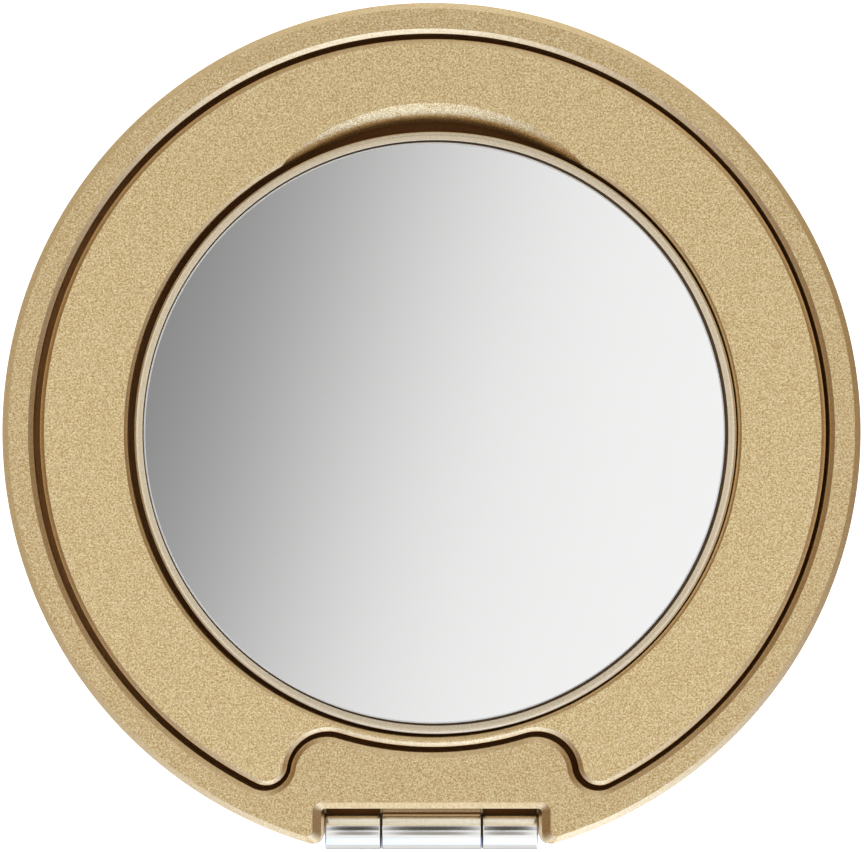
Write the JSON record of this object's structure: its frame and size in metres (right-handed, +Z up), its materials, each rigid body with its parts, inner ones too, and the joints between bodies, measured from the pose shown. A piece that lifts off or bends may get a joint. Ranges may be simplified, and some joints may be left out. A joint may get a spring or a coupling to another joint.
{
  "type": "powder compact",
  "caption": "Round gold powder compact with a hinged lid, a lift-out round mirror set in the lid's face, and a pan of pressed powder with a puff inside.",
  "frame": {"origin": "centre of the round body on the flat underside of the base", "axes": "+Z up through the closed lid, front (fingertip side) at -Y, hinge at +Y, hinge axis along X"},
  "size_m": [0.074, 0.0732, 0.0126],
  "materials": {
    "gold_satin": "fine bead-blasted, gold anodised",
    "champagne_bezel": "smooth satin, pale champagne",
    "mirror_glass": "flat silvered glass with a fine ground edge",
    "polished_steel": "polished",
    "screw_steel": "plain",
    "magnet_nickel": "nickel plated",
    "dark_moulding": "fine matt moulding, dark brown",
    "adhesive_film": "translucent film",
    "clear_rubber": "soft clear silicone",
    "pan_tin": "drawn sheet",
    "pressed_powder": "fine pressed powder, dry and matt",
    "puff_velour": "short cotton velour",
    "puff_satin": "woven satin band"
  },
  "bodies": {
    "base": {"base_shell": "gold_satin", "base_deck": "dark_moulding", "base_latch_magnets": "magnet_nickel", "closing_bumpers": "clear_rubber", "hinge_left_knuckle": "polished_steel", "hinge_right_knuckle": "polished_steel", "hinge_pin": "polished_steel", "base_hinge_screws": "screw_steel", "pan_pad": "adhesive_film", "powder_pan": "pan_tin", "powder_cake": "pressed_powder", "puff_pad": "puff_velour", "puff_ribbon": "puff_satin"},
    "lid": {"lid_shell": "gold_satin", "inlay_plate": "gold_satin", "inlay_adhesive": "adhesive_film", "mirror_magnets": "magnet_nickel", "lid_liner": "dark_moulding", "lid_latch_magnets": "magnet_nickel", "hinge_centre_knuckle": "polished_steel", "lid_hinge_screws": "screw_steel"},
    "mirror_disc": {"mirror_tray": "champagne_bezel", "mirror_glass": "mirror_glass", "mirror_adhesive": "adhesive_film", "mirror_keeper": "screw_steel"}
  },
  "joints": [
    {"name": "lid_hinge", "type": "hinge", "parent": "base", "child": "lid", "pos_m": [0, 0.0346, 0.0084], "axis": [-1, 0, 0], "range_deg": [0, 135]},
    {"name": "mirror_lift", "type": "slide", "parent": "lid", "child": "mirror_disc", "axis": [0, 0, 1], "range_m": [0, 0.012]}
  ]
}
